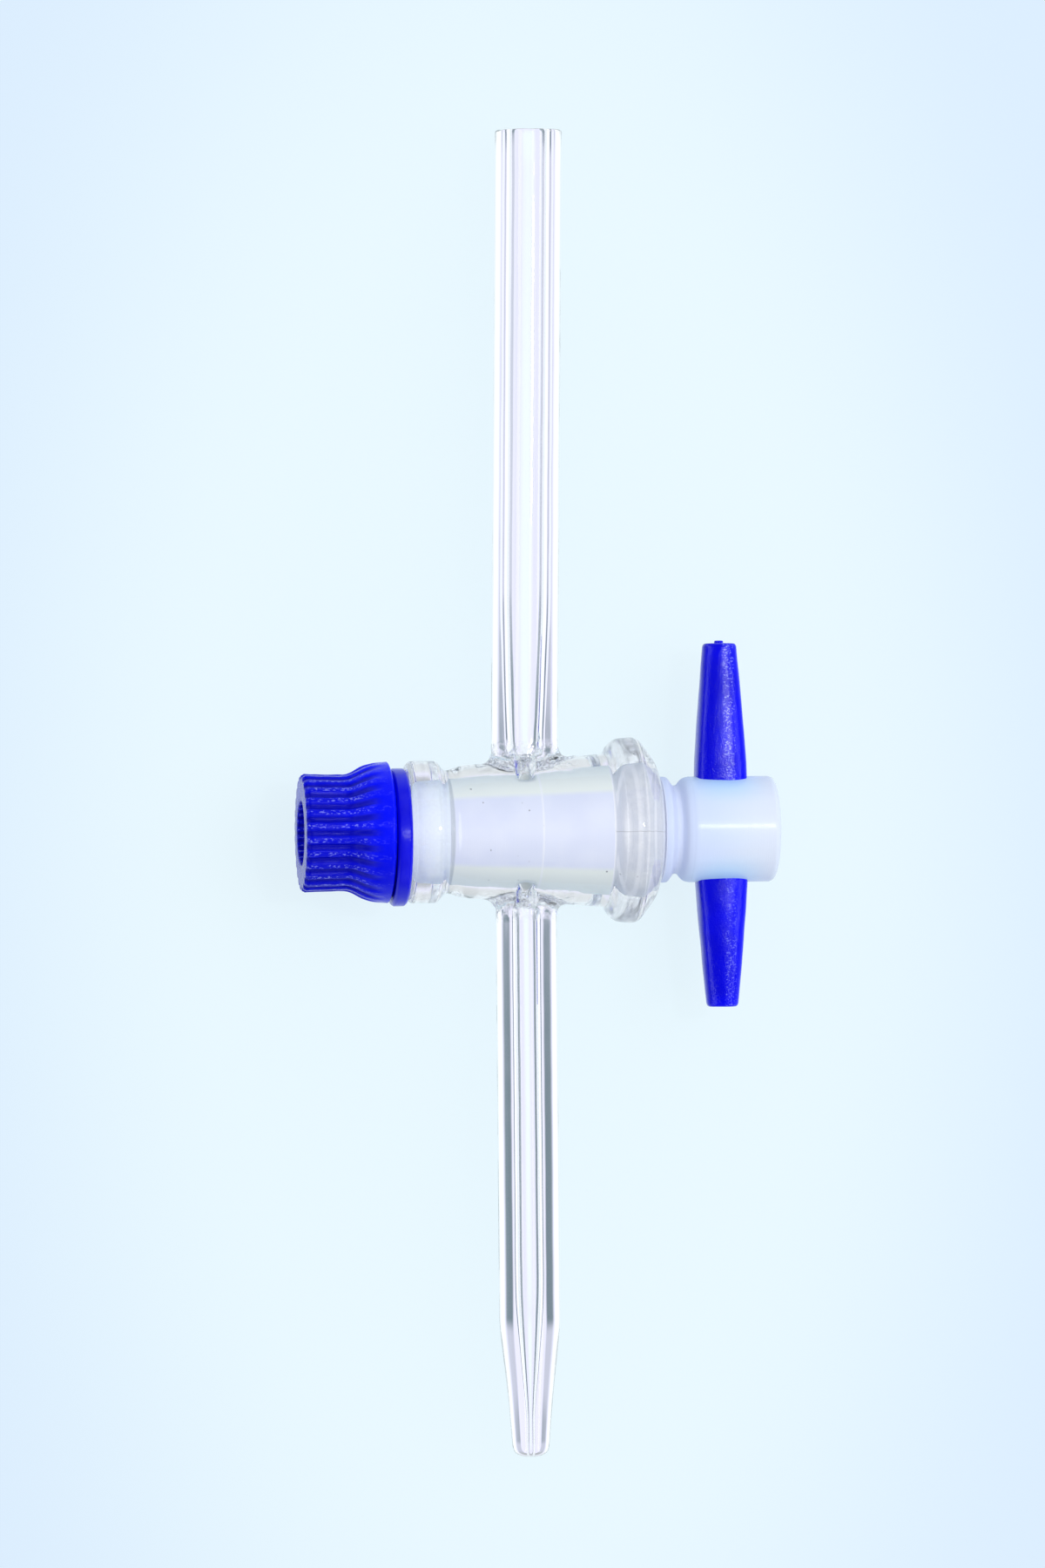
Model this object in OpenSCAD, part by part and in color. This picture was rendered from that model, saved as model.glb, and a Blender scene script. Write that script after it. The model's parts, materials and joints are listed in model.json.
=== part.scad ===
// A straight-bore glass stopcock with a tapered plastic key, drawn in by a screwed nut.
// It lies on its side. +X runs along the key towards the handle, +Y runs along the tubes
// towards the inlet, and +Z is up. The origin is where the key's axis crosses the tubes' axis.

/* [Inlet tube] */
// Outer diameter of the inlet tube
inlet_od = 8; // [7:0.1:9]
// Bore of the inlet tube
inlet_bore_d = 4.2; // [3.6:0.1:5]
// Length from the key's axis to the open end
inlet_length = 83.8; // [50:0.1:120]
// Bore where the tube is drawn in above the barrel
inlet_throat_d = 3.1; // [2.4:0.1:3.4]
// Length over which the bore draws in
inlet_draw_length = 17.7; // [8:0.1:30]

/* [Outlet tube] */
// Outer diameter of the outlet tube
outlet_od = 7.3; // [6.6:0.1:8]
// Bore of the outlet tube
outlet_bore_d = 2.5; // [1.6:0.1:3]
// Length from the key's axis to the jet's tip
outlet_length = 74.8; // [45:0.1:110]
// Length of the tapered jet
jet_length = 15.8; // [10:0.1:25]
// Outer diameter at the jet's tip
jet_tip_d = 4.5; // [3.5:0.1:5.5]
// Hole at the jet's tip
jet_hole_d = 0.7; // [0.4:0.1:1.2]
// Length of the domed tip
jet_dome_length = 0.9; // [0.5:0.1:1.5]
// Straight capillary left at the tip
jet_capillary_length = 5.4; // [3:0.1:8]

/* [Barrel] */
// Distance from the tubes' axis to the small end
barrel_left = 14.5; // [13:0.1:18]
// Distance from the tubes' axis to the rim's face
barrel_right = 16; // [14:0.1:20]
// Wall around the key, on the tubes' axis
barrel_wall = 3.75; // [3:0.05:4.5]
// The barrel's outside widens by one in this many on its diameter
barrel_taper = 6.8; // [6:0.1:12]
// Hole through the barrel's wall under each tube
port_d = 2.2; // [1.6:0.1:2.4]
// Fillet where each tube is fused to the barrel
fuse_radius = 1.35; // [0.8:0.05:2]

/* [Collar and rim] */
// Width of the collar at the small end
collar_width = 3.3; // [2.5:0.1:4]
// Height of the collar above the barrel's end
collar_height = 1.1; // [0.6:0.05:1.6]
// Rounding of the collar's open lip
collar_lip_radius = 0.9; // [0.4:0.05:1]
// Width of the slope from the collar down to the barrel
collar_slope_width = 1.35; // [0.8:0.05:2]
// Depth of the waist beside the collar
collar_waist = 0.35; // [0:0.05:0.6]
// Height of the rim above the barrel
rim_height = 1.45; // [0.8:0.05:2]
// Width of the rim
rim_width = 6.4; // [5:0.1:8]
// Rounding of the rim's back
rim_back_radius = 1.6; // [0.8:0.05:2]
// Length along the key of the rim's bevel
rim_bevel_length = 2; // [1.5:0.05:2.2]
// Drop of the rim's bevel
rim_bevel_drop = 2.3; // [1.5:0.05:2.5]
// Length along the key of the rounding from the bevel to the face
rim_face_length = 0.9; // [0.6:0.05:1.2]

/* [Key] */
// Key diameter on the tubes' axis
key_d = 9.4; // [8.6:0.1:10.4]
// The key's taper, one in this many on its diameter
key_taper = 10; // [8:0.5:14]
// Cross bore through the key
key_bore_d = 2; // [1.2:0.1:2.4]
// Running gap between the key and the glass, on the radius
key_gap = 0.03; // [0.01:0.01:0.08]
// How far the taper stops short of the glass's small end
key_setback = 0.8; // [0.4:0.1:1.5]
// Diameter of the head and the shoulder
head_d = 12.7; // [12:0.1:14]
// Gap between the rim's face and the shoulder
shoulder_gap = 0.1; // [0.05:0.05:0.5]
// Width of the shoulder beside the groove
shoulder_width = 0.7; // [0.4:0.1:1.5]
// Width of the groove at its mouth
groove_width = 2.15; // [1.8:0.05:3]
// Width of the groove's flat bottom
groove_bottom_width = 0.65; // [0.3:0.05:1]
// Depth of the groove
groove_depth = 1.05; // [0.5:0.05:1.3]
// Length of the head
head_length = 11.15; // [10:0.1:14]
// Rounding of the head's far edge
head_round = 0.8; // [0.3:0.1:1.5]

/* [Thread] */
// Diameter of the shank, over its screw thread
thread_d = 7; // [6:0.1:7.2]
// Gap between the shank and what slides on it, on the radius
thread_gap = 0.06; // [0.05:0.01:0.2]
// How far the shank stops short of the nut's open end
shank_setback = 1.5; // [1:0.1:4]
// Chamfer on the shank's end
shank_chamfer = 0.6; // [0.2:0.1:1]

/* [Handle] */
// Length of the cross bar
handle_length = 43.6; // [32:0.1:60]
// Width of the bar at the head
handle_width = 6.2; // [5:0.1:7]
// Thickness of the bar at the head
handle_thickness = 5; // [4:0.1:6]
// Width of the bar at its tips
handle_tip_width = 3.7; // [2.5:0.1:5]
// Thickness of the bar at its tips
handle_tip_thickness = 3.4; // [2.4:0.1:4]
// Rounding of the bar's tips
tip_round = 0.6; // [0.2:0.1:1]
// How far the bar is pushed through, off centre
handle_offset = 0.5; // [0:0.1:1.5]
// Distance from the groove to the bar's axis
handle_from_groove = 4.75; // [4.2:0.05:5.5]
// Gap between the bar and its hole
handle_gap = 0.03; // [0.01:0.01:0.1]
// Diameter of the moulding stub left on one tip
stub_d = 1.1; // [0.6:0.1:2]
// Height of the moulding stub
stub_height = 0.35; // [0.1:0.05:0.8]

/* [Nut] */
// Length of the nut
nut_length = 10.7; // [9:0.1:14]
// Diameter of the ribbed grip
grip_d = 13.9; // [12.6:0.1:15]
// Length of the straight grip before its flare
grip_length = 5.1; // [4:0.1:6]
// Diameter of the skirt
skirt_d = 16.9; // [15.6:0.1:18]
// Radius the skirt gains per unit of its length
skirt_slope = 0.1; // [0:0.01:0.2]
// How early the flare climbs, 2 for an even S
flare_power = 5; // [2:0.5:7]
// Length of the skirt's edge bevel
skirt_bevel_length = 0.45; // [0.2:0.05:0.8]
// Drop of the skirt's edge bevel
skirt_bevel_drop = 0.8; // [0.3:0.05:1]
// Number of ribs
rib_count = 26; // [18:1:34]
// Height of a rib
rib_height = 0.35; // [0.2:0.05:0.5]
// Share of each rib's pitch that is rib
rib_share = 0.55; // [0.4:0.05:0.7]
// Diameter of the hole in the nut's open end
nut_mouth_d = 7.7; // [7.4:0.1:8.4]
// Depth of that wider mouth
nut_mouth_depth = 0.8; // [0.4:0.1:1.5]

/* [Washer and O-ring] */
// Diameter of the washer
washer_d = 16.5; // [14:0.1:18]
// Thickness of the washer
washer_thickness = 1.8; // [1.2:0.1:2.5]
// Gap between the washer's hole and the shank, on the radius
washer_slack = 0.7; // [0.65:0.05:1]
// How far the washer sits off centre, towards the outlet
washer_drop = 0.6; // [0:0.05:0.6]
// Bevel on the washer's edges
washer_bevel = 0.3; // [0.1:0.05:0.5]
// Width of the squeezed O-ring, across its ring
oring_width = 1.9; // [1.4:0.1:2.2]
// Height of the squeezed O-ring, along the key
oring_height = 1.4; // [1:0.1:1.8]

/* [Hidden] */

round_fn = 72; // sides shown on a round; each round is a true one
arc_steps = 8; // straight runs in an eighth to a quarter of a turn
overrun = 1; // how far a cutter reaches past what it cuts
contact_gap = 0.02; // between faces that bear on each other

glass_color = [0.86, 0.93, 0.95, 0.45];
key_color = [0.93, 0.95, 0.98];
blue = [0.05, 0.08, 0.75];
rubber_color = [0.08, 0.08, 0.09];

// Radius of the key's taper, and of the barrel's outside, at x
function key_r(x) = key_d / 2 + x / (2 * key_taper);
function barrel_r(x) = key_d / 2 + key_gap + barrel_wall + x / (2 * barrel_taper);

// Points along an arc about [cx, cy], from angle a0 to a1
function arc(cx, cy, r, a0, a1, steps = arc_steps) =
    [for (i = [0 : steps]) let (a = a0 + (a1 - a0) * i / steps) [cx + r * cos(a), cy + r * sin(a)]];

// Stations along X, from the small end to the head
taper_end_x = -barrel_left + key_setback;
shoulder_x = barrel_right + shoulder_gap;
groove_x = shoulder_x + shoulder_width;
head_x = groove_x + groove_width;
head_end_x = head_x + head_length;
handle_x = head_x + handle_from_groove;

washer_x = -barrel_left - contact_gap - washer_thickness;
nut_right_x = washer_x - contact_gap;
nut_left_x = nut_right_x - nut_length;
shank_end_x = nut_left_x + shank_setback;
shank_r = thread_d / 2;
slide_r = shank_r + thread_gap;

collar_r = barrel_r(-barrel_left) + collar_height;
collar_flat_x = -barrel_left + collar_width;
collar_slope_x = collar_flat_x + collar_slope_width;
rim_r = barrel_r(barrel_right) + rim_height;
rim_back_x = barrel_right - rim_width;
rim_bevel_x = barrel_right - rim_face_length - rim_bevel_length;

// A profile of [radius, x] points, turned about the X axis
module turned_about_x(profile) {
    rotate([0, 90, 0])
        rotate_extrude($fn = round_fn)
            polygon(profile);
}

// A profile of [radius, y] points, turned about the Y axis
module turned_about_y(profile) {
    rotate([-90, 0, 0])
        rotate_extrude($fn = round_fn)
            polygon(profile);
}

// ---- Glass ----

// Solid outline of the barrel: lip, collar, waist, taper, rounded rim back, bevel and face
module barrel_outside() {
    lip = collar_lip_radius;
    back = rim_back_radius;
    bevel_angle = atan2(rim_bevel_drop, rim_bevel_length);
    face_r = rim_face_length / (1 - sin(bevel_angle));
    face_x = barrel_right - face_r;
    face_base = rim_r - rim_bevel_drop - face_r * cos(bevel_angle);
    waist_x = collar_slope_x + collar_slope_width;
    turned_about_x(concat(
        [[0, -barrel_left]],
        arc(collar_r - lip, -barrel_left + lip, lip, -90, 0),
        [[collar_r, collar_flat_x],
         [barrel_r(collar_slope_x) - collar_waist, collar_slope_x],
         [barrel_r(waist_x), waist_x]],
        [[barrel_r(rim_back_x), rim_back_x]],
        arc(rim_r - back, rim_back_x + back, back, -90, 0),
        [[rim_r, rim_bevel_x]],
        [for (p = arc(face_x, face_base, face_r, 90 - bevel_angle, 0)) [p[1], p[0]]],
        [[0, barrel_right]]));
}

// Outside of a tube: a fused foot on the barrel, then the tube up to [radius, y] points of its end
module tube_outside(od, end_points) {
    foot_y = barrel_r(0) - fuse_radius / 4;
    turned_about_y(concat(
        [[0, 0], [od / 2 + fuse_radius, 0]],
        arc(od / 2 + fuse_radius, foot_y + fuse_radius, fuse_radius, -90, -180),
        end_points));
}

// Bore of the inlet: port, rounded shoulder, throat, drawn-in cone and straight bore
module inlet_bore() {
    throat_y = barrel_r(0) + (inlet_throat_d - port_d);
    full_y = throat_y + inlet_draw_length;
    turned_about_y([
        [0, 0],
        [port_d / 2, 0],
        [port_d / 2, barrel_r(0)],
        [inlet_throat_d / 2, throat_y],
        [inlet_bore_d / 2, full_y],
        [inlet_bore_d / 2, inlet_length + overrun],
        [0, inlet_length + overrun]]);
}

// Bore of the outlet: port, straight bore, cone down to the capillary, and the tip's hole
module outlet_bore() {
    capillary_y = outlet_length - jet_capillary_length;
    cone_y = outlet_length - jet_length - outlet_bore_d;
    mirror([0, 1, 0])
        turned_about_y([
            [0, 0],
            [port_d / 2, 0],
            [port_d / 2, barrel_r(0)],
            [outlet_bore_d / 2, barrel_r(0) + outlet_bore_d - port_d],
            [outlet_bore_d / 2, cone_y],
            [jet_hole_d / 2, capillary_y],
            [jet_hole_d / 2, outlet_length + overrun],
            [0, outlet_length + overrun]]);
}

// Tapered hole through the barrel that the key turns in
module key_socket() {
    turned_about_x([
        [0, -barrel_left - overrun],
        [key_r(-barrel_left - overrun) + key_gap, -barrel_left - overrun],
        [key_r(barrel_right + overrun) + key_gap, barrel_right + overrun],
        [0, barrel_right + overrun]]);
}

module glass_body() {
    color(glass_color)
        difference() {
            union() {
                barrel_outside();
                tube_outside(inlet_od, [[inlet_od / 2, inlet_length], [0, inlet_length]]);
                mirror([0, 1, 0])
                    tube_outside(outlet_od, [
                        [outlet_od / 2, outlet_length - jet_length],
                        [jet_tip_d / 2, outlet_length - jet_dome_length],
                        [jet_hole_d, outlet_length],
                        [0, outlet_length]]);
            }
            key_socket();
            inlet_bore();
            outlet_bore();
        }
}

// ---- Key ----

// Outline of the cross bar at the head, as a round-cornered polygon in X and Z
function bar_section(width, thickness) =
    [for (i = [0 : bar_sides - 1])
        let (a = 360 * (i + 0.5) / bar_sides)
        [width / 2 * bar_power(cos(a)), thickness / 2 * bar_power(sin(a))]];
function bar_power(v) = sign(v) * pow(abs(v), 0.8);
bar_sides = 24;

module key() {
    groove_slope = (groove_width - groove_bottom_width) / 2;
    head_r = head_d / 2;
    color(key_color)
        difference() {
            turned_about_x(concat(
                [[0, shank_end_x],
                 [shank_r - shank_chamfer, shank_end_x],
                 [shank_r, shank_end_x + shank_chamfer],
                 [shank_r, taper_end_x],
                 [key_r(taper_end_x), taper_end_x],
                 [key_r(shoulder_x), shoulder_x],
                 [head_r, shoulder_x],
                 [head_r, groove_x],
                 [head_r - groove_depth, groove_x + groove_slope],
                 [head_r - groove_depth, head_x - groove_slope],
                 [head_r, head_x]],
                arc(head_r - head_round, head_end_x - head_round, head_round, 0, 90),
                [[0, head_end_x]]));
            rotate([90, 0, 0])
                cylinder(d = key_bore_d, h = key_d + 2 * overrun, center = true, $fn = round_fn);
            translate([handle_x, 0, 0])
                rotate([90, 0, 0])
                    linear_extrude(head_d + 2 * overrun, center = true)
                        polygon(bar_section(handle_width + 2 * handle_gap,
                                            handle_thickness + 2 * handle_gap));
        }
}

// ---- Handle ----

// [y, width, thickness] a share t of the way from the head to a tip's rounding.
// The bar is straight inside the head, then narrows along a shallow curve.
function bar_station(t) =
    let (straight = head_d / 2 + handle_offset,
         run = handle_length / 2 - tip_round - straight,
         narrowing = (t + t * t) / 2)
    [straight + run * t,
     handle_width + (handle_tip_width - handle_width) * narrowing,
     handle_thickness + (handle_tip_thickness - handle_thickness) * narrowing];

// The same, round the tip's edge from angle 0 to 90
function tip_station(a) =
    let (inset = 2 * tip_round * (1 - cos(a)))
    [handle_length / 2 - tip_round * (1 - sin(a)),
     handle_tip_width - inset,
     handle_tip_thickness - inset];

module handle() {
    arm = concat([for (i = [0 : 5]) bar_station(i / 5)], [for (a = [30, 60, 90]) tip_station(a)]);
    rings = concat([for (i = [len(arm) - 1 : -1 : 0]) [-arm[i][0], arm[i][1], arm[i][2]]], arm);
    corners = [for (ring = rings, p = bar_section(ring[1], ring[2])) [p[0], ring[0], p[1]]];
    n = bar_sides;
    last = len(corners) - n;
    sides = [for (k = [0 : n : last - n], i = [0 : n - 1], half = [0, 1])
        let (next = (i + 1) % n)
        half == 0 ? [k + i, k + next, k + n + next] : [k + i, k + n + next, k + n + i]];
    ends = [[for (i = [n - 1 : -1 : 0]) i], [for (i = [0 : n - 1]) last + i]];
    color(blue)
        translate([handle_x, handle_offset, 0]) {
            polyhedron(points = corners, faces = concat(sides, ends));
            translate([0, handle_length / 2 - stub_height, 0])
                rotate([-90, 0, 0])
                    cylinder(d = stub_d, h = 2 * stub_height, $fn = 24);
        }
}

// ---- Nut, washer and O-ring ----

// Radius of the flare a share t of the way from the grip, hollow at first and then full
function flare_r(grip_r, t) =
    let (spread = skirt_slope * flare_run)
    grip_r + spread * t
        + (skirt_d / 2 - spread - grip_r) * (1 - pow(1 - t, flare_power) * (1 + flare_power * t));

// [radius, x] points up the flare to a share t_end of it
function nut_flare(grip_r, t_end) =
    [for (i = [0 : flare_steps])
        let (t = t_end * i / flare_steps)
        [flare_r(grip_r, t), flare_x + flare_run * t]];
flare_steps = 10;
flare_x = nut_left_x + grip_length;
flare_run = nut_length - grip_length - skirt_bevel_length;
rib_run = 0.55; // share of the flare that the ribs fade out over

// One rib: a narrow sector of a nut whose grip stands a rib's height further out
module rib() {
    rib_angle = 360 / rib_count * rib_share;
    root_r = grip_d / 2 - 2 * rib_height;
    rotate([0, 90, 0])
        rotate([0, 0, -rib_angle / 2])
            rotate_extrude(angle = rib_angle, $fn = round_fn)
                polygon(concat(
                    [[root_r, nut_left_x], [grip_d / 2, nut_left_x]],
                    nut_flare(grip_d / 2, rib_run),
                    [[root_r, flare_x + flare_run * rib_run]]));
}

module retaining_nut() {
    grip_r = grip_d / 2 - rib_height;
    recess_r = slide_r + oring_width + contact_gap;
    recess_depth = oring_height + 2 * contact_gap;
    color(blue)
        difference() {
            union() {
                turned_about_x(concat(
                    [[0, nut_left_x], [grip_r, nut_left_x]],
                    nut_flare(grip_r, 1),
                    [[skirt_d / 2 - skirt_bevel_drop, nut_right_x],
                     [0, nut_right_x]]));
                for (i = [0 : rib_count - 1])
                    rotate([360 * i / rib_count, 0, 0])
                        rib();
            }
            turned_about_x([
                [0, nut_left_x - overrun],
                [nut_mouth_d / 2, nut_left_x - overrun],
                [nut_mouth_d / 2, nut_left_x + nut_mouth_depth],
                [slide_r, nut_left_x + nut_mouth_depth],
                [slide_r, nut_right_x - recess_depth],
                [recess_r, nut_right_x - recess_depth],
                [recess_r, nut_right_x + overrun],
                [0, nut_right_x + overrun]]);
        }
}

module washer() {
    washer_r = washer_d / 2;
    hole_r = shank_r + washer_slack;
    color(blue)
        translate([0, -washer_drop, 0])
            turned_about_x([
                [hole_r, washer_x],
                [washer_r - washer_bevel, washer_x],
                [washer_r, washer_x + washer_bevel],
                [washer_r, washer_x + washer_thickness - washer_bevel],
                [washer_r - washer_bevel, washer_x + washer_thickness],
                [hole_r, washer_x + washer_thickness]]);
}

// The ring's section is a flattened round: half circles joined by short flats
module o_ring() {
    end_r = oring_height / 2;
    middle_x = nut_right_x - contact_gap - end_r;
    inner_r = slide_r + end_r;
    outer_r = slide_r + oring_width - end_r;
    color(rubber_color)
        turned_about_x(concat(
            arc(inner_r, middle_x, end_r, 90, 270),
            arc(outer_r, middle_x, end_r, -90, 90)));
}

glass_body();
key();
handle();
retaining_nut();
washer();
o_ring();
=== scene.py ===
"""A straight-bore glass stopcock: blown glass with two fused tubes, a turned white key that a
screwed nut draws in, and blue moulded handle, nut and washer.

Shapes are worked out in millimetres, in the part's own frame, and become metres in the mesh:
+X runs along the key towards the handle, +Y along the tubes towards the inlet, +Z is up.
"""

import json
import math

import bpy
import numpy as np
from mathutils import Matrix, Quaternion, Vector


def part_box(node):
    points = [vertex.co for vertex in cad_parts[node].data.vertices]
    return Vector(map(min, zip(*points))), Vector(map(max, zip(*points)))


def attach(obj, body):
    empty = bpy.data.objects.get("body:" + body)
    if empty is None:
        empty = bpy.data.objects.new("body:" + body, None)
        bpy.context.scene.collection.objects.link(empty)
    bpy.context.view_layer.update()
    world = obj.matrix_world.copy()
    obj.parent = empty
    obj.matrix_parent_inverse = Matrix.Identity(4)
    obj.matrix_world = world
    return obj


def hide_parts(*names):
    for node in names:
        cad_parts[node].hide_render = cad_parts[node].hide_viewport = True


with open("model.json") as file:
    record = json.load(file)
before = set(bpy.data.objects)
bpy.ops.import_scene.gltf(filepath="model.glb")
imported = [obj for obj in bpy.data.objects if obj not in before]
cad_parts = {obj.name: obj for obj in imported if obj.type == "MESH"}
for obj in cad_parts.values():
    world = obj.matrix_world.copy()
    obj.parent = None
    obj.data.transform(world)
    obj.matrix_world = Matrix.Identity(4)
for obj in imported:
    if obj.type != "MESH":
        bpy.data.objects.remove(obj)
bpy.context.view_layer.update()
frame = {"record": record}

MM = 0.001
TURN = 2 * math.pi

# ---------------------------------------------------------------- grids and meshes


def smooth(points, rounds):
    """Corner cutting: each run of a polyline gives its quarter and three-quarter points."""
    p = np.asarray(points, float)
    for _ in range(rounds):
        cut = np.empty((2 * (len(p) - 1), p.shape[1]))
        cut[0::2] = 0.75 * p[:-1] + 0.25 * p[1:]
        cut[1::2] = 0.25 * p[:-1] + 0.75 * p[1:]
        p = np.vstack([p[:1], cut, p[-1:]])
    return p


def round_corners(rings, rounds):
    """Corner cutting of closed rings, one ring for each row."""
    for _ in range(rounds):
        after = np.roll(rings, -1, 1)
        cut = np.stack([0.75 * rings + 0.25 * after, 0.25 * rings + 0.75 * after], 2)
        rings = cut.reshape(len(rings), -1, 2)
    return rings


def spaced(points, longest):
    """A polyline with points added so that no run is longer than the longest allowed."""
    p = np.asarray(points, float)
    lengths = np.linalg.norm(np.diff(p, axis=0), axis=1)
    runs = np.maximum(1, np.ceil(lengths / longest)).astype(int)
    start = np.repeat(np.arange(len(runs)), runs)
    share = np.concatenate([np.arange(n) / n for n in runs])[:, None]
    return np.vstack([p[start] + share * (p[start + 1] - p[start]), p[-1:]])


def bend(cx, cy, r, a0, a1, steps):
    """Points of an arc about (cx, cy), from a0 to a1 degrees."""
    a = np.radians(np.linspace(a0, a1, steps + 1))
    return np.stack([cx + r * np.cos(a), cy + r * np.sin(a)], 1)


def between(first, last, count):
    """Points evenly spaced between two others, without either of them."""
    return np.linspace(first, last, count + 2)[1:-1]


def profile(radius_at, x):
    """Points [x, r] of a turned surface at the given x."""
    x = np.atleast_1d(x)
    return np.stack([x, radius_at(x)], 1)


def angles(columns):
    """Angles round a full turn, one for each column."""
    return TURN * np.arange(columns) / columns


def turned(x, r, columns):
    """Surface of revolution about X: every [x, r] point carried round by an angle from +Y towards +Z.

    r is one radius for each x, or one for each x and angle.
    """
    angle = angles(columns)
    r = np.broadcast_to(r if np.ndim(r) == 2 else np.asarray(r)[:, None], (len(x), columns))
    x = np.broadcast_to(np.asarray(x)[:, None], r.shape)
    return np.stack([x, r * np.cos(angle), r * np.sin(angle)], 2)


def ring_rows(radius, y, directions, centre=(0.0, 0.0)):
    """Rows of a tube along Y: the same directions in X and Z on each row, times its radius, at its y."""
    rows = np.broadcast_to(np.asarray(radius)[:, None], (len(y), len(directions)))
    x = centre[0] + rows * directions[:, 0]
    z = centre[1] + rows * directions[:, 1]
    return np.stack([x, np.broadcast_to(np.asarray(y)[:, None], x.shape), z], 2)


def quads(grid, first, keep, loop_rows):
    """Corner numbers of a grid's cells, closed round its columns, with outward faces."""
    rows, columns = grid.shape[:2]
    i = np.arange(rows if loop_rows else rows - 1)[:, None]
    j = np.arange(columns)[None, :]
    below, beside = (i + 1) % rows, (j + 1) % columns
    cells = np.stack([i * columns + j, i * columns + beside,
                      below * columns + beside, below * columns + j], 2)
    cells = cells if keep is None else cells[keep]
    return cells.reshape(-1, 4) + first


def piece(name, parts, material, body, nodes):
    """One mesh from several grids, given as (grid, cells kept or None, rows closed or not).

    Corners that coincide are welded. A cell with two corners welded together becomes a triangle, and
    one with fewer than three corners left is dropped.
    """
    corners, cells, first = [], [], 0
    for grid, keep, loop_rows in parts:
        cells.append(quads(grid, first, keep, loop_rows))
        corners.append(grid.reshape(-1, 3))
        first += corners[-1].shape[0]
    corners, cells = np.vstack(corners), np.vstack(cells)
    rounded = np.round(corners, 6) + 0.0  # adding zero makes minus zero plain zero
    _, kept, where = np.unique(rounded, axis=0, return_index=True, return_inverse=True)
    corners, cells = corners[kept], where.reshape(-1)[cells]
    single = cells != np.roll(cells, -1, axis=1)
    single[single.sum(1) < 3] = False
    loops = cells[single]
    sides = single.sum(1)
    sides = sides[sides > 0]
    mesh = bpy.data.meshes.new(name)
    mesh.vertices.add(len(corners))
    mesh.vertices.foreach_set("co", (corners * MM).ravel())
    mesh.loops.add(len(loops))
    mesh.loops.foreach_set("vertex_index", loops)
    mesh.polygons.add(len(sides))
    mesh.polygons.foreach_set("loop_start", np.cumsum(sides) - sides)
    mesh.polygons.foreach_set("use_smooth", np.ones(len(sides), bool))
    mesh.update(calc_edges=True)
    mesh.validate()
    mesh.materials.append(material)
    made = bpy.data.objects.new(name, mesh)
    bpy.context.scene.collection.objects.link(made)
    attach(made, body)
    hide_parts(*nodes)


def normals(grid):
    """Unit normals of a grid closed round its columns, from its differences across and along."""
    across = np.roll(grid, -1, 1) - np.roll(grid, 1, 1)
    n = np.cross(across, np.gradient(grid, axis=0))
    return n / np.maximum(np.linalg.norm(n, axis=2, keepdims=True), 1e-12)


def lumps(p, size, seed):
    """Smooth lumps, mostly between -1 and 1: sine waves of about one size, in seeded directions, summed."""
    waves = 12
    rng = np.random.default_rng(seed)
    way = rng.normal(size=(waves, 3))
    way *= (TURN / size * rng.uniform(0.7, 1.6, waves) / np.linalg.norm(way, axis=1))[:, None]
    return np.sin(p @ way.T + rng.uniform(0, TURN, waves)).sum(-1) / 5


def step(edge0, edge1, v):
    """A smooth climb from 0 at edge0 to 1 at edge1."""
    t = np.clip((v - edge0) / (edge1 - edge0), 0, 1)
    return t * t * (3 - 2 * t)


# ---------------------------------------------------------------- shader expressions


def put(tree, socket, value):
    """Links or sets one socket."""
    if isinstance(value, Wire):
        tree.links.new(value.socket, socket)
    elif isinstance(value, tuple) and len(value) == 3 and socket.type == "RGBA":
        socket.default_value = (*value, 1.0)
    else:
        socket.default_value = value


class Wire:
    """A number on its way between shader nodes, so that node maths reads as an expression."""

    def __init__(self, tree, socket):
        self.tree, self.socket = tree, socket

    def math(self, operation, *values, swap=False):
        node = self.tree.nodes.new("ShaderNodeMath")
        node.operation = operation
        terms = (*values, self) if swap else (self, *values)
        for socket, value in zip(node.inputs, terms):
            put(self.tree, socket, value)
        return Wire(self.tree, node.outputs[0])

    def __add__(self, other):
        return self.math("ADD", other)

    def __sub__(self, other):
        return self.math("SUBTRACT", other)

    def __rsub__(self, other):
        return self.math("SUBTRACT", other, swap=True)

    def __mul__(self, other):
        return self.math("MULTIPLY", other)

    def __abs__(self):
        return self.math("ABSOLUTE")

    __radd__ = __add__
    __rmul__ = __mul__


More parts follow.
